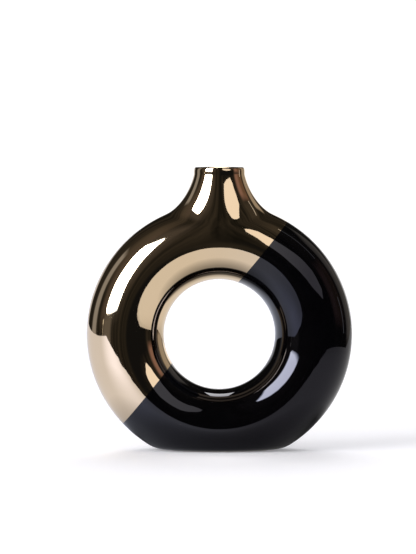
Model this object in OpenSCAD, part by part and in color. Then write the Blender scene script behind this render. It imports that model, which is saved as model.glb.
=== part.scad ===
// Donut vase: a slip-cast ceramic ring with a hollow wall, a narrow neck on top and
// a flat foot below. The upper left is gold plated, the lower right is black glazed.
// The ring faces the front, which is -Y, and stands on the plane at height zero.

/* [Ring] */
// Width of the ring, which is the width of the vase
ring_w = 133; // [110:1:160]
// Width of the hole through the ring
hole_w = 55.8; // [44:0.2:66]
// Depth of the ring from front to back
ring_d = 40; // [32:1:48]
// Height of the vase from the table to the lip, which also sets the height of the ring
vase_h = 142; // [120:1:170]

/* [Neck] */
// Height of the lip above the top of the ring
neck_h = 18.1; // [14:0.1:24]
// Outside diameter of the neck at the lip, without the flare
neck_w = 24.9; // [21:0.1:30]
// Angle by which the neck widens downwards
neck_draft = 4.5; // [0:0.5:8]
// Radius of the flare from neck to ring
flare_r = 25.3; // [18:0.1:30]
// Height of the rounding of the lip
lip_h = 3.6; // [1:0.1:5]

/* [Wall] */
// Thickness of the wall from outside finish to inside finish
wall = 4; // [3:0.1:5]
// Thickness of each glaze, and of the plating
coat = 0.4; // [0.2:0.05:0.6]
// How far the gold runs down inside the neck
gold_inside = 10; // [6:0.5:12]

/* [Gold and black] */
// Slope of the line between gold and black, from level
parting_slope = 50.8; // [40:0.1:60]
// Distance of that line from the middle of the hole
parting_offset = 9.3; // [4:0.1:14]

/* [Foot] */
// How much of the bottom of the ring the flat foot takes away
foot_cut = 7.4; // [5:0.1:10]
// Height over which the ring rounds into its flat foot
foot_round = 2.4; // [1.5:0.1:4]
// Height of the bare clay foot below the glaze
foot_rise = 0.5; // [0.3:0.1:1]
// Distance from the edge of the flat to the bare clay foot
foot_margin = 2; // [1:0.1:4]
// Width of the band of clay that the vase stands on
foot_band = 4; // [2:0.1:6]

/* [Hidden] */

clay_colour = "#e8e2d6";
black_colour = "#0b0b0e";
gold_colour = "#a5834f";
lining_colour = "#f4f1ea";

// The ring is a little lower than wide: its half height, the height of the middle of
// its hole above the table, and its height as a share of its width
ring_top = vase_h - neck_h;
ring_half_h = (ring_top + foot_cut) / 2;
hole_z = ring_top - ring_half_h;
oval = 2 * ring_half_h / ring_w;
// The tube of the ring: the radius of its middle line, its half width and half depth
tube_r = (ring_w + hole_w) / 4;
tube_w = (ring_w - hole_w) / 4;
tube_d = ring_d / 2;
// The neck starts at the middle of the tube, at the top of the ring
neck_r = neck_w / 2;
neck_base = hole_z + tube_r * oval;
lip_z = vase_h - lip_h;
plating_end = lip_z - gold_inside;

// Half length and half depth of the flat under the ring, where the rounding ends
flat_level = (hole_z - foot_rise + foot_round) / oval;
flat_x = sqrt(pow(ring_w / 2, 2) - pow(flat_level, 2));
flat_y = tube_d * sqrt(1 - pow((flat_level - tube_r) / tube_w, 2));
foot_x = flat_x - foot_margin;
foot_y = flat_y - foot_margin;

// Extra length of every cut
overrun = ring_d / 4;

// Steps round the ring and round its tube, and the half steps of the patch that
// the neck takes the place of
ring_steps = 48;
tube_steps = 20;
patch_ring = 4;
patch_tube = 3;
// How much closer the steps round the ring stand at foot and neck than on average
crowding_share = 0.35;
// Rows from the patch up to the plating's end, from there to the lip, and over the lip
flare_rows = 4;
bore_rows = 3;
lip_steps = 6;
// Halvings of a ray when a point of the surface is looked for
halvings = 18;
oval_sides = 72;

ring_points = ring_steps * tube_steps;
loop_points = 4 * (patch_ring + patch_tube);

// Distance of a point from the plain ring, and the way that the ring faces there
function ring_distance(p) =
    let (out = norm([p.x, (p.z - hole_z) / oval]) - tube_r)
    tube_w * (norm([out / tube_w, p.y / tube_d]) - 1);
function ring_facing(p) =
    let (spoke = [p.x, 0, (p.z - hole_z) / oval],
         out = norm(spoke) - tube_r,
         facing = spoke / norm(spoke) * out / pow(tube_w, 2) + [0, p.y / pow(tube_d, 2), 0])
    facing / norm(facing);

// The same for the plain neck, a cone that widens downwards into the tube of the ring
function neck_distance(p) =
    (norm([p.x, p.y]) - neck_r) * cos(neck_draft) - (lip_z - p.z) * sin(neck_draft);
function neck_facing(p) =
    let (out = norm([p.x, p.y]))
    out == 0 ? [0, 0, 1] : [p.x / out * cos(neck_draft), p.y / out * cos(neck_draft), sin(neck_draft)];

// Distance from the vase. A ball with the flare's radius rolls round between ring and
// neck, and where it touches both, the surface follows the ball.
function distance(p) =
    p.z < neck_base ? ring_distance(p) :
    let (ring = ring_distance(p), neck = neck_distance(p),
         to_ring = flare_r - ring, to_neck = flare_r - neck,
         agree = ring_facing(p) * neck_facing(p),
         square = pow(to_ring, 2) + pow(to_neck, 2) - 2 * agree * to_ring * to_neck)
    to_ring > agree * to_neck && to_neck > agree * to_ring ?
        flare_r - sqrt(square / (1 - pow(agree, 2))) :
        min(ring, neck);

// The point on a ray, between two lengths of it, that lies at a depth in the wall
function wall_point(start, ray, depth, near, far, n = halvings) =
    let (middle = (near + far) / 2)
    n == 0 ? start + ray * middle :
    distance(start + ray * middle) < -depth ? wall_point(start, ray, depth, middle, far, n - 1) :
    wall_point(start, ray, depth, near, middle, n - 1);

// The flat foot: heights near the foot's plane round into it
function rounded(h) =
    h >= foot_round ? h : h <= -foot_round ? 0 : pow(h + foot_round, 2) / (4 * foot_round);
function seated(p, depth) =
    let (plane = foot_rise + depth)
    [p.x, p.y, plane + rounded(p.z - plane)];

// Angle of a step round the ring. The steps crowd at foot and neck, and one of them
// falls on each side, where the ring is widest.
function ring_turn(i) =
    let (even = 360 * i / ring_steps)
    even - crowding_share * sin(2 * even) * 90 / PI;

// A point of the ring, by its steps round the ring from the top and round the tube
function ring_point(i, j, depth) =
    let (turn = ring_turn(i), roll = 360 * j / tube_steps,
         spoke = [sin(turn), 0, oval * cos(turn)],
         ray = spoke * cos(roll) + [0, sin(roll), 0])
    seated(wall_point([0, 0, hole_z] + spoke * tube_r, ray, depth, 0, 2 * tube_d), depth);

// Steps of the points round the patch, anticlockwise from the right, seen from above
patch_loop = concat(
    [for (j = [0:patch_tube - 1]) [patch_ring, j]],
    [for (i = [patch_ring:-1:1 - patch_ring]) [i, patch_tube]],
    [for (j = [patch_tube:-1:1 - patch_tube]) [-patch_ring, j]],
    [for (i = [-patch_ring:patch_ring - 1]) [i, -patch_tube]],
    [for (j = [-patch_tube:-1]) [patch_ring, j]]);

// A row of the neck. The rows climb from the patch to the plating's end, and from
// there they are level and evenly divided, up to the lip.
function neck_row(row, depth) =
    [for (k = [0:loop_points - 1])
        let (root = ring_point(patch_loop[k][0], patch_loop[k][1], depth),
             climb = min(row / flare_rows, 1),
             even = 360 * k / loop_points,
             from = (atan2(root.y, root.x) + 360) % 360,
             turn = from + (even - from) * climb,
             top = plating_end + (lip_z - plating_end) * max(row - flare_rows, 0) / bore_rows,
             z = root.z + (top - root.z) * climb)
        wall_point([0, 0, z], [cos(turn), sin(turn), 0], depth, 0, ring_w / 2)];
function neck_rows(first, last, depth) = [for (row = [first:last]) neck_row(row, depth)];

// Rows over the lip, from the outside to the bore, at a depth in the wall
function lip_rows(depth) =
    let (last = flare_rows + bore_rows, edge = neck_row(last, depth), bore = neck_row(last, wall - depth))
    [for (s = [1:lip_steps - 1])
        let (bend = 180 * s / lip_steps)
        [for (k = [0:loop_points - 1])
            (edge[k] + bore[k]) / 2 + (edge[k] - bore[k]) / 2 * cos(bend)
            + [0, 0, (lip_h - depth) * sin(bend)]]];

function reversed(list) = [for (k = [len(list) - 1:-1:0]) list[k]];
function flattened(rows) = [for (row = rows) each row];

// Faces: the ring without its patch, and the bands between rows of point numbers
function ring_number(i, j) =
    ((i + ring_steps) % ring_steps) * tube_steps + (j + tube_steps) % tube_steps;
function in_patch(i, j) =
    (i + patch_ring) % ring_steps < 2 * patch_ring && (j + patch_tube) % tube_steps < 2 * patch_tube;
function turned(faces, inward) = inward ? [for (face = faces) reversed(face)] : faces;
function ring_faces(first, inward) =
    [for (i = [0:ring_steps - 1], j = [0:tube_steps - 1])
        if (!in_patch(i, j))
            let (a = first + ring_number(i, j), b = first + ring_number(i + 1, j),
                 c = first + ring_number(i + 1, j + 1), d = first + ring_number(i, j + 1))
            each turned((i < ring_steps / 2) == (j < tube_steps / 2) ?
                [[a, c, b], [a, d, c]] : [[a, d, b], [b, d, c]], inward)];
function loop_numbers(first) = [for (step = patch_loop) first + ring_number(step[0], step[1])];
function bands(rows) =
    [for (r = [0:len(rows) - 2], k = [0:loop_points - 1])
        let (next = (k + 1) % loop_points)
        each [[rows[r][k], rows[r + 1][next], rows[r][next]],
              [rows[r][k], rows[r + 1][k], rows[r + 1][next]]]];

// A closed skin between two depths of the ring, joined by rows of the neck
module skin(outer, inner, rows) {
    numbers = [for (r = [0:len(rows) - 1])
        [for (k = [0:loop_points - 1]) 2 * ring_points + r * loop_points + k]];
    polyhedron(
        points = concat(
            [for (i = [0:ring_steps - 1], j = [0:tube_steps - 1]) ring_point(i, j, outer)],
            [for (i = [0:ring_steps - 1], j = [0:tube_steps - 1]) ring_point(i, j, inner)],
            flattened(rows)),
        faces = concat(
            ring_faces(0, false),
            ring_faces(ring_points, true),
            bands(concat([loop_numbers(0)], numbers, [loop_numbers(ring_points)]))));
}

// The whole outside coat, over the lip and down the bore to the plating's end
module outside_coat() {
    last = flare_rows + bore_rows;
    skin(0, coat, concat(
        neck_rows(1, last, 0), lip_rows(0),
        reversed(neck_rows(flare_rows, last, wall)),
        neck_rows(flare_rows, last, wall - coat),
        reversed(lip_rows(coat)), reversed(neck_rows(1, last, coat))));
}

// Everything to the upper left of the line between gold and black
module gold_side() {
    reach = vase_h + ring_w;
    translate([0, 0, hole_z]) rotate([0, -parting_slope, 0])
        translate([-reach, -reach, parting_offset]) cube(2 * reach);
}

module oval_block(x, y, h) {
    linear_extrude(height = h)
        polygon([for (k = [0:oval_sides - 1])
            [x * cos(360 * k / oval_sides), y * sin(360 * k / oval_sides)]]);
}

// Hollow fired clay, with its bare foot
module ceramic_body() {
    last = flare_rows + bore_rows;
    color(clay_colour) union() {
        skin(coat, wall - coat, concat(
            neck_rows(1, last, coat), lip_rows(coat),
            reversed(neck_rows(1, last, wall - coat))));
        difference() {
            oval_block(foot_x, foot_y, foot_rise + wall / 2);
            translate([0, 0, -overrun])
                oval_block(foot_x - foot_band, foot_y - foot_band, overrun + foot_rise + wall);
        }
    }
}

// Black glaze on the lower right, open round the bare foot
module black_glaze() {
    color(black_colour) difference() {
        outside_coat();
        gold_side();
        oval_block(foot_x, foot_y, overrun);
    }
}

// Gold plating on the upper left and the neck
module gold_plating() {
    color(gold_colour) intersection() {
        outside_coat();
        gold_side();
    }
}

// Clear glaze that lines the inside and makes it hold water
module inner_glaze() {
    color(lining_colour) skin(wall - coat, wall, concat(
        neck_rows(1, flare_rows, wall - coat),
        reversed(neck_rows(1, flare_rows, wall))));
}

ceramic_body();
black_glaze();
gold_plating();
inner_glaze();
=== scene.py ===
import math

import bpy
import numpy as np
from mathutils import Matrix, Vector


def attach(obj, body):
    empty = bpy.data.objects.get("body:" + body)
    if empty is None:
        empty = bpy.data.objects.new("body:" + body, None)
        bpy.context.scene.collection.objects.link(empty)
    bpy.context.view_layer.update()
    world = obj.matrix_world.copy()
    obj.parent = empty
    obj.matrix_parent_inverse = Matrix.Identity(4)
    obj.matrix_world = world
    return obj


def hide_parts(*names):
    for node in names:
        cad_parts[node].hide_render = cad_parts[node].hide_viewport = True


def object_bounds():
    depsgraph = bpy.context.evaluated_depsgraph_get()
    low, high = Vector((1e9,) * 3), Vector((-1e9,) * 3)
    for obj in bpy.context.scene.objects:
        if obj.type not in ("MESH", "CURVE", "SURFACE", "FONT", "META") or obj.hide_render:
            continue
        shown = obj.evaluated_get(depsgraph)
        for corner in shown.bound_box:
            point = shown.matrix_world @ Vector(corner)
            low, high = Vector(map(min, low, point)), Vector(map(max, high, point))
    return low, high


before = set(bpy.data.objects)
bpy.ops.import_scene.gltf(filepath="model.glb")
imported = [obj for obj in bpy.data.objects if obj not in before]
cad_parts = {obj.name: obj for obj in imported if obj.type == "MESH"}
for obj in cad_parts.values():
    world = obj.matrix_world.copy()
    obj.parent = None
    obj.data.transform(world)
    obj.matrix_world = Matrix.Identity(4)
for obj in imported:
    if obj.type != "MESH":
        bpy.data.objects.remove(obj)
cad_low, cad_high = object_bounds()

size = {
    "Ring width": cad_high.x - cad_low.x,
    "Ring depth": cad_high.y - cad_low.y,
    "Vase height": cad_high.z - cad_low.z,
    "Hole width": 0.0558,
    "Neck height": 0.0181,
    "Neck width": 0.0249,
    "Neck draft": math.tan(math.radians(4.5)),
    "Flare": 0.0253,
    "Foot cut": 0.0074,
    "Foot rounding": 0.0024,
    "Foot rise": 0.0005,
    "Foot margin": 0.002,
    "Foot band": 0.004,
    "Parting slope": math.radians(50.8),
    "Parting offset": 0.0093,
}
wall = 0.004
coat = 0.0004
gold_inside = 0.010
lip_height = 0.0036


def measures(size):
    """What follows from the sizes, which may be numbers or sockets."""
    top = size["Vase height"] - size["Neck height"]
    half_height = (top + size["Foot cut"]) / 2
    middle = top - half_height
    oval = 2 * half_height / size["Ring width"]
    radius = (size["Ring width"] + size["Hole width"]) / 4
    half_width = (size["Ring width"] - size["Hole width"]) / 4
    half_depth = size["Ring depth"] / 2
    flat_level = (middle - size["Foot rise"] + size["Foot rounding"]) / oval
    flat_length = ((size["Ring width"] / 2) ** 2 - flat_level ** 2) ** 0.5
    flat_depth = half_depth * (1 - ((flat_level - radius) / half_width) ** 2) ** 0.5
    return {
        "middle": middle,
        "oval": oval,
        "radius": radius,
        "half width": half_width,
        "half depth": half_depth,
        "neck radius": size["Neck width"] / 2,
        "neck base": middle + radius * oval,
        "neck cosine": (1 + size["Neck draft"] * size["Neck draft"]) ** -0.5,
        "lip": size["Vase height"] - lip_height,
        "foot length": flat_length - size["Foot margin"],
        "foot depth": flat_depth - size["Foot margin"],
    }


ring = measures(size)
lip_z = ring["lip"]
plating_end = lip_z - gold_inside

# The mesh is laid out in steps round the ring and round its tube. The neck starts from
# a patch left out of the top of the ring and climbs in rows, over the lip and down.
ring_steps = 192
tube_steps = 80
patch = 12
flare_rows = 18
bore_rows = 10
bore_last = flare_rows + bore_rows
lip_steps = 16
patch_loop = np.array(
    [(patch, j) for j in range(patch)]
    + [(i, patch) for i in range(patch, -patch, -1)]
    + [(-patch, j) for j in range(patch, -patch, -1)]
    + [(i, -patch) for i in range(-patch, patch)]
    + [(patch, j) for j in range(-patch, 0)]
)


def ring_points(i, j, depth):
    """Points of the plain ring at a depth: place, ray on which each may move, depth, rise."""
    turn = 2 * np.pi * i / ring_steps
    roll = 2 * np.pi * j / tube_steps
    level = np.zeros(len(i))
    spoke = np.stack([np.sin(turn), level, ring["oval"] * np.cos(turn)], -1)
    ray = spoke * np.cos(roll)[:, None] + np.stack([level, np.sin(roll), level], -1)
    across = np.hypot(np.cos(roll) / ring["half width"], np.sin(roll) / ring["half depth"])
    reach = (1 - depth / ring["half width"]) / across
    place = spoke * ring["radius"] + ray * reach[:, None] + [0, 0, ring["middle"]]
    return np.column_stack([place, ray, level + depth, level])


def neck_row(row, depth, rise=0.0):
    """A row of the neck. Rows climb from the patch to the plating's end, then run level."""
    root = ring_points(*patch_loop.T, depth)
    climb = min(row / flare_rows, 1)
    even = 2 * np.pi * np.arange(len(patch_loop)) / len(patch_loop)
    start = np.arctan2(root[:, 1], root[:, 0]) % (2 * np.pi)
    turn = start + (even - start) * climb
    top = plating_end + (lip_z - plating_end) * max(row - flare_rows, 0) / bore_rows
    z = root[:, 2] + (top - root[:, 2]) * climb
    bore = ring["neck radius"] - depth
    out = bore + (np.hypot(root[:, 0], root[:, 1]) - bore) * (1 - climb) ** 2
    level = np.zeros(len(root))
    ray = np.column_stack([np.cos(turn), np.sin(turn), level])
    place = ray * out[:, None]
    place[:, 2] = z
    return np.column_stack([place, ray, level + depth, level + rise])


def neck_rows(first, last, depth):
    return [neck_row(row, depth) for row in range(first, last + 1)]


def lip_rows(depth):
    """Rows over the lip, from outside to bore. Its section is squarer than half an
    ellipse, so it starts with an upright band."""
    rows = []
    for step in range(1 - lip_steps, lip_steps):
        bend = math.pi / 2 * (1 - abs(step) / lip_steps) ** 2
        across = (wall / 2 - depth) * (1 - math.sqrt(math.cos(bend)))
        place = depth + across if step < 0 else wall - depth - across
        rise = (lip_height - depth) * math.sqrt(math.sin(bend))
        rows.append(neck_row(bore_last, place, rise))
    return rows


def skin(name, outer, inner, rows):
    """A closed skin between two depths of the ring, joined by rows of the neck."""
    i, j = (step.ravel() for step in np.indices((ring_steps, tube_steps)))
    points = np.concatenate([ring_points(i, j, outer), ring_points(i, j, inner), *rows])
    left_out = ((i + patch) % ring_steps < 2 * patch) & ((j + patch) % tube_steps < 2 * patch)
    i, j = i[~left_out], j[~left_out]

    def number(i, j):
        return i % ring_steps * tube_steps + j % tube_steps

    quads = np.stack([number(i, j), number(i + 1, j), number(i + 1, j + 1), number(i, j + 1)], -1)
    count = ring_steps * tube_steps
    edge = number(*patch_loop.T)
    round_neck = 2 * count + np.arange(len(rows) * len(edge)).reshape(-1, len(edge))
    lines = [edge, *round_neck, count + edge]
    bands = [
        np.stack([low, np.roll(low, -1), np.roll(high, -1), high], -1)
        for low, high in zip(lines, lines[1:])
    ]
    used, faces = np.unique(
        np.concatenate([quads, count + quads[:, ::-1], *bands]), return_inverse=True
    )
    points = points[used]
    mesh = bpy.data.meshes.new(name)
    mesh.from_pydata(points[:, :3], [], faces.reshape(-1, 4).tolist())
    for label, kind, field, columns in (
        ("ray", "FLOAT_VECTOR", "vector", slice(3, 6)),
        ("depth", "FLOAT", "value", 6),
        ("rise", "FLOAT", "value", 7),
    ):
        attribute = mesh.attributes.new(label, kind, "POINT")
        attribute.data.foreach_set(field, points[:, columns].ravel().astype(np.float32))
    piece = bpy.data.objects.new(name, mesh)
    bpy.context.scene.collection.objects.link(piece)
    return piece


class Wire:
    """A socket of a node tree. Sums written with it add the Math nodes that work them out."""

    def __init__(self, tree, socket=None):
        self.tree = tree
        self.socket = socket

    def add(self, kind, settings={}, inputs={}, output=0):
        """Adds a node with its settings and inputs, and gives a wire from one output."""
        node = self.tree.nodes.new(kind)
        for name, setting in settings.items():
            setattr(node, name, setting)
        for name, value in inputs.items():
            for each in value if isinstance(value, list) else [value]:
                if isinstance(each, Wire):
                    self.tree.links.new(each.socket, node.inputs[name])
                else:
                    node.inputs[name].default_value = each
        return Wire(self.tree, node.outputs[output])

    def math(self, operation, first, second):
        return self.add("ShaderNodeMath", {"operation": operation}, {0: first, 1: second})

    def parts(self):
        """X, Y and Z of a vector."""
        split = self.add("ShaderNodeSeparateXYZ", {}, {0: self}).socket.node
        return [Wire(self.tree, part) for part in split.outputs]

    def above(self, other):
        """One where this is greater, else nothing."""
        return self.math("GREATER_THAN", self, other)

    def most(self, other):
        return self.math("MAXIMUM", self, other)

    def least(self, other):
        return self.math("MINIMUM", self, other)

    def __add__(self, other):
        return self.math("ADD", self, other)

    def __sub__(self, other):
        return self.math("SUBTRACT", self, other)

    def __rsub__(self, other):
        return self.math("SUBTRACT", other, self)

    def __mul__(self, other):
        return self.math("MULTIPLY", self, other)

    def __truediv__(self, other):
        return self.math("DIVIDE", self, other)

    def __rtruediv__(self, other):
        return self.math("DIVIDE", other, self)

    def __pow__(self, other):
        return self.math("POWER", self, other)

    __radd__ = __add__
    __rmul__ = __mul__


def hypot(a, b):
    return (a * a + b * b) ** 0.5


def distance(point, size, ring):
    """How far outside the vase a point is. A ball with the flare's radius rolls round
    between ring and neck, and where it touches both, the surface follows the ball."""
    x, y, z = point.parts()
    height = (z - ring["middle"]) / ring["oval"]
    spoke = hypot(x, height)
    out = spoke - ring["radius"]
    tube = ring["half width"] * (hypot(out / ring["half width"], y / ring["half depth"]) - 1)
    level = hypot(x, y)
    cosine = ring["neck cosine"]
    sine = cosine * size["Neck draft"]
    far_away = 1.0
    below = ring["neck base"] - z
    neck = (level - ring["neck radius"]) * cosine - (ring["lip"] - z) * sine
    neck = neck + below.above(0) * far_away

    lean = out / ring["half width"] ** 2
    roll = y / ring["half depth"] ** 2
    agree = lean * (x * x / level * cosine + height * sine) / spoke + roll * y / level * cosine
    agree = agree / hypot(lean, roll)
    to_ring = size["Flare"] - tube
    to_neck = size["Flare"] - neck
    square = to_ring * to_ring + to_neck * to_neck - agree * to_ring * to_neck * 2
    ball = (square / (1 - agree * agree)) ** 0.5
    touching = (to_ring - agree * to_neck).least(to_neck - agree * to_ring).above(0)
    plain = tube.least(neck)
    return plain + touching * (size["Flare"] - ball - plain)


def point_value(shape, label, kind="FLOAT"):
    """What the laid-out mesh holds on each point under a label."""
    return shape.add("GeometryNodeInputNamedAttribute", {"data_type": kind}, {"Name": label})


def settle(shape, sizes, ring):
    """Moves each point along its ray, round after round, to its depth in the wall."""
    rounds = 16
    probe = 0.0001
    longest_step = 0.002
    tree = shape.tree
    zone_start = tree.nodes.new("GeometryNodeRepeatInput")
    zone_end = tree.nodes.new("GeometryNodeRepeatOutput")
    zone_start.pair_with_output(zone_end)
    zone_start.inputs["Iterations"].default_value = rounds
    tree.links.new(shape.socket, zone_start.inputs["Geometry"])
    place = shape.add("GeometryNodeInputPosition")
    ray = point_value(shape, "ray", "FLOAT_VECTOR")
    depth = point_value(shape, "depth")
    ahead = shape.add(
        "ShaderNodeVectorMath", {"operation": "MULTIPLY_ADD"}, {0: ray, 1: (probe,) * 3, 2: place}
    )
    here = distance(place, sizes, ring) + depth
    gain = distance(ahead, sizes, ring) + depth - here
    step = (here * (-probe) / gain).most(-longest_step).least(longest_step)
    move = shape.add("ShaderNodeVectorMath", {"operation": "SCALE"}, {0: ray, "Scale": step})
    unmoved = Wire(tree, zone_start.outputs["Geometry"])
    moved = shape.add("GeometryNodeSetPosition", {}, {"Geometry": unmoved, "Offset": move})
    tree.links.new(moved.socket, zone_end.inputs["Geometry"])
    return Wire(tree, zone_end.outputs["Geometry"])


def vector(wire, **parts):
    return wire.add("ShaderNodeCombineXYZ", {}, parts)


def seat(shape, sizes):
    """Raises the lip, and flattens the foot with a rounded edge."""
    x, y, z = shape.add("GeometryNodeInputPosition").parts()
    floor = sizes["Foot rise"] + point_value(shape, "depth")
    rounding = sizes["Foot rounding"]
    height = z + point_value(shape, "rise") - floor
    curve = height.most(rounding * -1).least(rounding) + rounding
    level = floor + curve * curve / (rounding * 4) + (height - rounding).most(0)
    place = vector(shape, X=x, Y=y, Z=level)
    return shape.add("GeometryNodeSetPosition", {}, {"Geometry": shape, "Position": place})


def transform(block, **vectors):
    return block.add("GeometryNodeTransform", {}, {"Geometry": block, **vectors})


def cut(operation, first, second):
    """Joins or intersects two solids, or takes the second from the first."""
    settings = {"operation": operation, "solver": "MANIFOLD"}
    if operation == "DIFFERENCE":
        return first.add("GeometryNodeMeshBoolean", settings, {0: first, 1: second})
    return first.add("GeometryNodeMeshBoolean", settings, {1: [first, second]})


def oval_block(wire, length, depth, height):
    """An upright oval block from its half length, half depth and height."""
    block = wire.add("GeometryNodeMeshCylinder", {}, {"Vertices": 144, "Radius": 1.0, "Depth": 1.0})
    return transform(block, Scale=vector(wire, X=length, Y=depth, Z=height))


def wall_tree(name, edges):
    """Settles and seats a layer, gives it its own edges, and sets its finish."""
    tree = bpy.data.node_groups.new(name, "GeometryNodeTree")
    for direction in ("INPUT", "OUTPUT"):
        tree.interface.new_socket("Geometry", in_out=direction, socket_type="NodeSocketGeometry")
    for label in size:
        tree.interface.new_socket(label, in_out="INPUT", socket_type="NodeSocketFloat")
    tree.interface.new_socket("Finish", in_out="INPUT", socket_type="NodeSocketMaterial")
    given = tree.nodes.new("NodeGroupInput").outputs
    sizes = {label: Wire(tree, given[label]) for label in size}
    ring = measures(sizes)
    shape = seat(settle(Wire(tree, given["Geometry"]), sizes, ring), sizes)
    if edges:
        shape = edges(shape, sizes, ring)

    crease = math.radians(35)
    angle = shape.add("GeometryNodeInputMeshEdgeAngle")
    sharp = shape.add("FunctionNodeCompare", {"operation": "GREATER_THAN"}, {0: angle, 1: crease})
    inputs = {0: shape, "Selection": sharp, "Shade Smooth": False}
    creased = shape.add("GeometryNodeSetShadeSmooth", {"domain": "EDGE"}, inputs)
    whole = shape.add("GeometryNodeRealizeInstances", {}, {0: creased})
    finish = Wire(tree, given["Finish"])
    finished = shape.add("GeometryNodeSetMaterial", {}, {0: whole, "Material": finish})
    output = tree.nodes.new("NodeGroupOutput")
    tree.links.new(finished.socket, output.inputs[0])
    return tree


def shaped(piece, finish, edges=None):
    """Runs the layer's tree on its laid-out mesh and keeps the plain result."""
    for polygon in piece.data.polygons:
        polygon.use_smooth = True
    modifier = piece.modifiers.new("wall", "NODES")
    modifier.node_group = wall_tree(piece.name, edges)
    for item in modifier.node_group.interface.items_tree:
        if item.in_out == "INPUT" and item.name in size:
            modifier[item.identifier] = size[item.name]
        elif item.name == "Finish":
            modifier[item.identifier] = finish
    evaluated = piece.evaluated_get(bpy.context.evaluated_depsgraph_get())
    mesh = bpy.data.meshes.new_from_object(evaluated)
    piece.modifiers.clear()
    piece.data = mesh
    for label in ("ray", "depth", "rise"):
        if label in mesh.attributes:
            mesh.attributes.remove(mesh.attributes[label])


def surface(name):
    """A new material, its surface shader and the place on the piece."""
    material = bpy.data.materials.new(name)
    material.use_nodes = True
    shader = material.node_tree.nodes["Principled BSDF"]
    start = Wire(material.node_tree)
    place = start.add("ShaderNodeTexCoord", {}, {}, "Object")
    return material, shader, place


def noise(place, scale, detail=2.0):
    return place.add("ShaderNodeTexNoise", {}, {"Vector": place, "Scale": scale, "Detail": detail})


def bump(height, depth, strength):
    return height.add("ShaderNodeBump", {}, {"Height": height, "Distance": depth, "Strength": strength})


def blend(share, dark, light):
    """A colour that goes from one to the other with a share. Either may be a wire."""
    first, second = (end if isinstance(end, Wire) else (*end, 1) for end in (dark, light))
    return share.add("ShaderNodeMix", {"data_type": "RGBA"}, {"Factor": share, 6: first, 7: second}, 2)


def feed(shader, **wires):
    """Links wires to the shader's sockets, named with underscores for spaces."""
    for name, wire in wires.items():
        wire.tree.links.new(wire.socket, shader.inputs[name.replace("_", " ")])


def fired_clay():
    material, shader, place = surface("fired clay")
    grain = noise(place, 900, 3)
    clouds = noise(place, 60, 2)
    feed(
        shader,
        Base_Color=blend(clouds * 0.6 + grain * 0.4, (0.50, 0.46, 0.40), (0.74, 0.70, 0.63)),
        Roughness=grain * 0.15 + 0.75,
        Normal=bump(grain, 0.00006, 0.6),
    )
    return material


def bare_band(shape, sizes, ring):
    """Adds the band of bare clay that the vase stands on."""
    length = ring["foot length"]
    depth = ring["foot depth"]
    width = sizes["Foot band"]
    height = sizes["Foot rounding"]
    band = cut(
        "DIFFERENCE",
        oval_block(shape, length, depth, height),
        oval_block(shape, length - width, depth - width, height * 2),
    )
    return cut("UNION", shape, transform(band, Translation=vector(shape, Z=height / 2)))


clay = skin(
    "ceramic_body_fired",
    coat,
    wall - coat,
    neck_rows(1, bore_last, coat) + lip_rows(coat) + neck_rows(1, bore_last, wall - coat)[::-1],
)
shaped(clay, fired_clay(), bare_band)
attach(clay, "root")
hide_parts("ceramic_body")


# The water space is lined with a clear glaze over the pale clay. It runs up inside the
# neck to where the gold ends.
def lining_glaze():
    material, shader, place = surface("lining glaze")
    clouds = noise(place, 120, 3)
    feed(
        shader,
        Base_Color=blend(clouds, (0.62, 0.58, 0.50), (0.80, 0.77, 0.70)),
        Roughness=clouds * 0.08 + 0.10,
        Normal=bump(clouds, 0.0001, 0.5),
    )
    return material


lining = skin(
    "inner_glaze_lining",
    wall - coat,
    wall,
    neck_rows(1, flare_rows, wall - coat) + neck_rows(1, flare_rows, wall)[::-1],
)
shaped(lining, lining_glaze())
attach(lining, "root")
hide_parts("inner_glaze")


# The outside coat goes over the lip and down the bore. A straight masked line parts its
# two finishes. Black glaze covers the lower right and is wiped off the foot.
def outside_coat(name):
    """A thin coat from the outside over the lip and down to the plating's end."""
    return skin(
        name,
        0.0,
        coat,
        neck_rows(1, bore_last, 0.0)
        + lip_rows(0.0)
        + neck_rows(flare_rows, bore_last, wall)[::-1]
        + neck_rows(flare_rows, bore_last, wall - coat)
        + lip_rows(coat)[::-1]
        + neck_rows(1, bore_last, coat)[::-1],
    )


def gold_side(wire, sizes, ring):
    """A block that fills the gold's side of the slanting line."""
    reach = 0.5
    block = wire.add("GeometryNodeMeshCube", {}, {"Size": (reach,) * 3})
    block = transform(block, Translation=vector(wire, Z=sizes["Parting offset"] + reach / 2))
    centre = vector(wire, Z=ring["middle"])
    turn = vector(wire, Y=sizes["Parting slope"] * -1)
    return transform(block, Translation=centre, Rotation=turn)


def black_edges(shape, sizes, ring):
    """Ends the glaze at the slanting line and wipes it off the foot."""
    shape = cut("DIFFERENCE", shape, gold_side(shape, sizes, ring))
    foot = oval_block(shape, ring["foot length"], ring["foot depth"], sizes["Foot rounding"] * 2)
    return cut("DIFFERENCE", shape, foot)


def ramp(value, start, finish):
    """Nothing up to the start, and one from the finish on."""
    return ((value - start) / (finish - start)).least(1).most(0)


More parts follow.
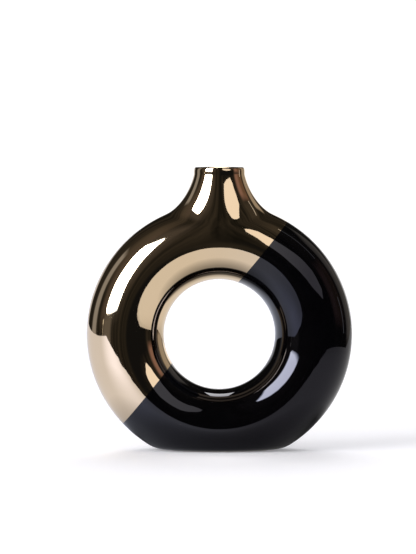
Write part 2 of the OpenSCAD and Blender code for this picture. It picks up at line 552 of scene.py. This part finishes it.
def black_glaze():
    """The glaze ran a little thicker at the left and at the upper inside of the ring."""
    material, shader, place = surface("black glaze")
    waves = noise(place, 90, 2)
    specks = noise(place, 2500, 1)
    x, _, z = place.parts()
    at_left = ramp(x, 0.02, -0.04)
    upper_inside = ramp(z, 0.045, 0.075).least(ramp(x, 0.045, 0.025))
    shader.inputs["IOR"].default_value = 1.385
    shader.inputs["Specular Tint"].default_value = (0.85, 0.83, 1.0, 1)
    shader.inputs["Coat IOR"].default_value = 1.5
    shader.inputs["Coat Roughness"].default_value = 0.02
    feed(
        shader,
        Base_Color=blend(waves, (0.0006, 0.0005, 0.0008), (0.0016, 0.0015, 0.0020)),
        Roughness=waves * 0.02 + specks * 0.01 + 0.015,
        Coat_Weight=at_left.most(upper_inside) * 0.5,
        Normal=bump(waves, 0.00004, 1.0),
    )
    return material


black = outside_coat("black_glaze_coat")
shaped(black, black_glaze(), black_edges)
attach(black, "root")
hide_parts("black_glaze")


# Gold plating covers the upper left, the neck and the lip. It is a mirror that shows the
# faint waves of the glaze under it, with a little uneven tone where it was brushed on.
def gold_edges(shape, sizes, ring):
    """Keeps what lies on the gold's side of the slanting line."""
    return cut("INTERSECT", shape, gold_side(shape, sizes, ring))


def gold_plating():
    material, shader, place = surface("gold plating")
    waves = noise(place, 90, 2)
    clouds = noise(place, 35, 4)
    shader.inputs["Metallic"].default_value = 1.0
    feed(
        shader,
        Base_Color=blend(clouds, (0.76, 0.58, 0.385), (0.83, 0.655, 0.45)),
        Roughness=clouds * 0.03 + 0.02,
        Normal=bump(waves, 0.00005, 1.0),
    )
    return material


gold = outside_coat("gold_plating_coat")
shaped(gold, gold_plating(), gold_edges)
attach(gold, "root")
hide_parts("gold_plating")


# The vase stands on a plain pale table that runs out under a white tent. What the glossy
# vase mirrors of it is a sheet of its own, with an edge, a shade close to the vase and a
# bluish pool of light from the window.
def stage_mesh(name, corners, faces, material, rays):
    """A stage object that only the named kinds of ray meet."""
    mesh = bpy.data.meshes.new(name)
    mesh.from_pydata(corners, [], faces)
    mesh.materials.append(material)
    thing = bpy.data.objects.new(name, mesh)
    bpy.context.scene.collection.objects.link(thing)
    for ray in ("camera", "diffuse", "glossy", "shadow"):
        setattr(thing, "visible_" + ray, ray in rays)


def towards(azimuth, elevation, reach):
    """The place in a direction from the ring's middle, in degrees. Azimuth runs from the
    camera's side to the right."""
    turn = math.radians(azimuth)
    lift = math.radians(elevation)
    flat = reach * math.cos(lift)
    return flat * math.sin(turn), -flat * math.cos(turn), reach * math.sin(lift) + ring["middle"]


def emitting(name):
    """A dark material whose tree gives off light."""
    material, shader, place = surface(name)
    shader.inputs["Base Color"].default_value = (0, 0, 0, 1)
    shader.inputs["Specular IOR Level"].default_value = 0.0
    shader.inputs["Emission Strength"].default_value = 1.0
    return material, shader, place


def soft_share(value, low, high, edge):
    """One between low and high, falling to nothing across an edge that wide."""
    rising = (value - low) / edge + 0.5
    falling = (high - value) / edge + 0.5
    return rising.least(falling).least(1).most(0)


table_half = 4.0
table_finish, table_shader, table_place = surface("pale table")
table_shader.inputs["Roughness"].default_value = 0.9
table_shader.inputs["Specular IOR Level"].default_value = 0.0
table_shader.inputs["Emission Color"].default_value = (0.97, 0.96, 1.0, 1)
table_shader.inputs["Emission Strength"].default_value = 0.25
feed(table_shader, Base_Color=blend(noise(table_place, 3), (0.875, 0.87, 0.905), (0.885, 0.88, 0.915)))
stage_mesh(
    "table",
    [(x * table_half, y * table_half, 0) for x, y in ((-1, -1), (1, -1), (1, 1), (-1, 1))],
    [(0, 1, 2, 3)],
    table_finish,
    ("camera", "diffuse", "shadow"),
)

# Azimuth and elevation of the mirrored table's edge, in degrees
table_edge = [
    (-180, 0), (-150, 0), (-90, -3), (-60, -3), (-45, -7), (-25, -10),
    (0, -16.5), (25, -10.5), (45, -8.5), (115, -8.5), (150, 0), (180, 0),
]
flat_reach = 0.3
rim_reach = 1.4
sheet_level = -0.001
spokes = 72
sheet_corners = [(0, 0, sheet_level)]
for spoke in range(spokes):
    azimuth = 360 * spoke / spokes - 180
    x, y, _ = towards(azimuth, 0, 1)
    edge_slope = math.tan(math.radians(np.interp(azimuth, *zip(*table_edge))))
    rim_level = ring["middle"] + rim_reach * edge_slope
    sheet_corners.append((x * flat_reach, y * flat_reach, sheet_level))
    sheet_corners.append((x * rim_reach, y * rim_reach, rim_level))
sheet_faces = []
for spoke in range(spokes):
    inner, outer = 1 + 2 * spoke, 2 + 2 * spoke
    next_inner, next_outer = 1 + 2 * ((spoke + 1) % spokes), 2 + 2 * ((spoke + 1) % spokes)
    sheet_faces += [(0, inner, next_inner), (inner, outer, next_outer, next_inner)]


def mirrored_table_finish():
    """Bluish at the left and a pool at the left front, both painted window light; greyer far to the
    right, a painted shadow of the vase; darker round and behind the vase, painted shade.
    """
    material, shader, place = emitting("mirrored table")
    plain_tone = (0.80, 0.79, 0.78)
    # Painted window light: a bluish tone at the left of the sheet.
    painted_window_light_tone = (0.80, 0.84, 0.97)
    # Painted shadow of the vase: a greyer tone far to the right.
    painted_shadow_tone = (0.64, 0.63, 0.62)
    # Painted pool of window light, brighter than the rest of the sheet.
    painted_light_pool_tone = (1.26, 1.35, 1.72)
    x, y, _ = place.parts()
    out = hypot(x, y)
    tone = blend(ramp(x, 0.02, -0.06), plain_tone, painted_window_light_tone)
    tone = blend(ramp(x, 0.15, 0.35), tone, painted_shadow_tone)
    # Painted shade close round the vase, darkest near its foot.
    painted_shade_round_vase = ramp(out, 0.03, 0.10) * 0.6 + 0.4
    # Painted shade of the vase on the sheet just behind it.
    shade_edge = 0.02
    painted_shade_behind_vase = soft_share(x, -0.055, 0.075, shade_edge) * soft_share(y, -0.004, 0.048, shade_edge)
    tone = blend(painted_shade_round_vase * (1 - painted_shade_behind_vase * 0.8), (0, 0, 0), tone)
    # A painted pool of window light spreads out from the vase towards the left front.
    painted_light_pool_azimuth = math.radians(-48)
    painted_light_pool_width = math.radians(34)
    turn = (x.math("ARCTAN2", x, y * -1) - painted_light_pool_azimuth) / painted_light_pool_width
    painted_light_share = (1 - turn * turn).most(0) ** 2 * ramp(out, 0.05, 0.21)
    feed(shader, Emission_Color=blend(painted_light_share, tone, painted_light_pool_tone))
    return material


stage_mesh("mirrored_table", sheet_corners, sheet_faces, mirrored_table_finish(), ("glossy",))

# What the vase mirrors above the table: a tall bright window at the left, a softbox at
# the right, a strip above and behind, thin stands at both sides, and a dim room whose
# walls are pale low down behind.
card_distance = 1.4


def glow(name, colour, strength):
    """A material that only gives off light."""
    material = bpy.data.materials.new(name)
    material.use_nodes = True
    material.node_tree.nodes.clear()
    start = Wire(material.node_tree)
    light = start.add("ShaderNodeEmission", {}, {"Color": (*colour, 1), "Strength": strength})
    output = material.node_tree.nodes.new("ShaderNodeOutputMaterial")
    material.node_tree.links.new(light.socket, output.inputs["Surface"])
    return material


def card(name, outline, finish):
    """A glowing sheet whose corners lie in the given directions."""
    corners = [towards(azimuth, elevation, card_distance) for azimuth, elevation in outline]
    stage_mesh(name, corners, [range(len(corners))], finish, ("glossy",))


def directions(place):
    """Azimuth from the camera's side, azimuth from behind, and elevation, in degrees."""
    x, y, z = place.parts()
    height = z - ring["middle"]
    turns = (x, y * -1), (x, y), (height, hypot(x, y))
    return [first.math("ARCTAN2", first, second) * math.degrees(1) for first, second in turns]


def window_light():
    """Strong light through the panes, with a narrow dimmer edge all round."""
    material, shader, place = emitting("window light")
    edge_tone = (1.3, 1.6, 2.1)
    pane_tone = (19.0, 20.0, 21.0)
    azimuth, _, elevation = directions(place)
    panes = soft_share(azimuth, -67, -35, 3) * soft_share(elevation, 7.5, 45.5, 3)
    feed(shader, Emission_Color=blend(panes, edge_tone, pane_tone))
    return material


def upright(left, right, low, high):
    """The outline of a card with upright sides."""
    return [(left, low), (right, low), (right, high), (left, high)]


card(
    "window",
    [
        (-34, 5.5), (-46, 5.8), (-63, 7), (-68, 9), (-69, 25), (-67.5, 40),
        (-64, 46.5), (-50, 47.5), (-38, 46.5), (-34.5, 42), (-33.5, 25),
    ],
    window_light(),
)
card(
    "softbox",
    [
        (14.5, 24), (19, 16), (31, 12.6), (48, 12.2), (55, 18), (56, 28), (50, 34.5), (41, 38),
        (35.5, 41), (30, 46), (28, 50), (22, 51.5), (17, 50), (14.5, 43), (15, 34),
    ],
    glow("softbox light", (1.0, 0.97, 0.95), 1.1),
)
card("top_strip", upright(160, 200, 51, 68), glow("top light", (1.0, 1.0, 1.0), 6.0))
card("side_strip", upright(95, 98.5, 37, 60), glow("side light", (1.0, 1.0, 1.0), 0.6))
card("side_post", upright(100.6, 102.6, -2, 15), glow("post light", (0.95, 0.97, 1.0), 1.0))
lamp_light = glow("lamp light", (1.0, 0.95, 0.85), 0.8)
card("lamp_stand", upright(-72.6, -71.9, -4, 2), lamp_light)
card("lamp_head", upright(-73.6, -71.0, 2, 5), lamp_light)


def dim_room_finish():
    """Dark curtains with upright folds, and soft patches laid over them one by one."""
    material, shader, place = emitting("dim room")
    hollow_tone = (0.008, 0.008, 0.007)
    crest_tone = (0.045, 0.040, 0.033)
    azimuth, from_behind, elevation = directions(place)
    folds = noise(vector(place, X=azimuth, Y=elevation * 0.1), 0.12, 3) * 2.6 - 0.95
    tone = blend(folds.least(1).most(0), hollow_tone, crest_tone)
    # Each patch has its azimuth and the limits of it, its lowest and highest elevation
    # and the width of its edge, in degrees, and its colour.
    patches = [
        (azimuth, 2, 66, -16, 10, 8, (0.0075, 0.008, 0.009)),
        (azimuth, -110, -62, 28, 70, 24, (0.075, 0.064, 0.052)),
        (azimuth, 62, 112, 34, 70, 16, (0.050, 0.044, 0.036)),
        (azimuth, -60, -22, 6, 60, 12, (0.070, 0.062, 0.056)),
        (azimuth, -85, -60, 4, 60, 12, (0.085, 0.070, 0.060)),
        (azimuth, -70, -46, -14, 7, 8, (0.13, 0.12, 0.11)),
        (azimuth, -117, -99, -6, 38, 5, (0.30, 0.30, 0.31)),
        (azimuth, 72, 104, 4, 33, 8, (0.27, 0.165, 0.14)),
        (azimuth, 88, 108, 4, 33, 10, (0.15, 0.095, 0.064)),
        (azimuth, 117, 143, -6, 42, 6, (0.38, 0.34, 0.29)),
        (from_behind, -33, 2, -20, 12, 7, (0.72, 0.72, 0.76)),
        (from_behind, -2, 31, -20, 13, 8, (1.05, 1.02, 0.98)),
    ]
    for turn, left, right, low, high, edge, colour in patches:
        share = soft_share(turn, left, right, edge) * soft_share(elevation, low, high, edge)
        tone = blend(share, tone, colour)
    feed(shader, Emission_Color=tone)
    return material


room_sides = 48


def round_wall(levels):
    """Faces of a round wall with that many levels of corners, and its flat roof."""
    faces = [
        (
            level * room_sides + step,
            level * room_sides + (step + 1) % room_sides,
            (level + 1) * room_sides + (step + 1) % room_sides,
            (level + 1) * room_sides + step,
        )
        for level in range(levels - 1)
        for step in range(room_sides)
    ]
    return faces + [range((levels - 1) * room_sides, levels * room_sides)]


room_reach = 2.0
room_levels = 23
room_corners = [
    towards(360 * step / room_sides, 180 * level / (room_levels + 1) - 90, room_reach)
    for level in range(1, room_levels + 1)
    for step in range(room_sides)
]
stage_mesh("dim_room", room_corners, round_wall(room_levels), dim_room_finish(), ("glossy",))

# The table is lit evenly by the sky, by daylight from the window's side and by a light
# above and behind. They leave the soft shades in front and at the right. The vase's
# glossy layers see none of them, and the camera sees a white tent all round.
world = bpy.data.worlds.new("even light")
world.use_nodes = True
bpy.context.scene.world = world
world.node_tree.nodes["Background"].inputs["Color"].default_value = (0.42, 0.42, 0.42, 1)


def soft_sun(name, azimuth, elevation, strength):
    sun_width = math.radians(40)
    light = bpy.data.lights.new(name, "SUN")
    light.energy = strength
    light.angle = sun_width
    lamp = bpy.data.objects.new(name, light)
    bpy.context.scene.collection.objects.link(lamp)
    lamp.rotation_euler = (math.radians(90 - elevation), 0, math.radians(azimuth))
    lamp.visible_glossy = False


soft_sun("daylight", azimuth=-52, elevation=27, strength=1.6)
soft_sun("back_light", azimuth=180, elevation=45, strength=1.3)

tent_reach = 3.9
tent_levels = (-0.5, 5.0)
tent_corners = [
    (*towards(360 * step / room_sides, 0, tent_reach)[:2], z)
    for z in tent_levels
    for step in range(room_sides)
]
tent_finish = glow("white tent", (1.0, 1.0, 1.0), 1.2)
stage_mesh("white_tent", tent_corners, round_wall(len(tent_levels)), tent_finish, ("camera",))

# The camera stands in front and a little above, as in the photograph, far enough away
# that the ring looks flat-on.
frame_height = 554
frame_width = 416
ring_pixel = (219.4, 334.05)
metres_per_pixel = 0.0005015
camera_distance = 1.8
camera_elevation = math.radians(3.3)
camera_data = bpy.data.cameras.new("camera")
focal_pixels = camera_distance / metres_per_pixel
camera_data.sensor_fit = "VERTICAL"
camera_data.lens = camera_data.sensor_height * focal_pixels / frame_height
camera = bpy.data.objects.new("camera", camera_data)
bpy.context.scene.collection.objects.link(camera)
bpy.context.scene.camera = camera
camera.location = (
    0,
    -camera_distance * math.cos(camera_elevation),
    ring["middle"] + camera_distance * math.sin(camera_elevation),
)
tilt_up = math.atan((ring_pixel[1] - frame_height / 2) / focal_pixels)
turn_left = math.atan((ring_pixel[0] - frame_width / 2) / focal_pixels)
camera.rotation_euler = (math.pi / 2 - camera_elevation + tilt_up, 0, turn_left)
bpy.context.scene.view_settings.view_transform = "Standard"
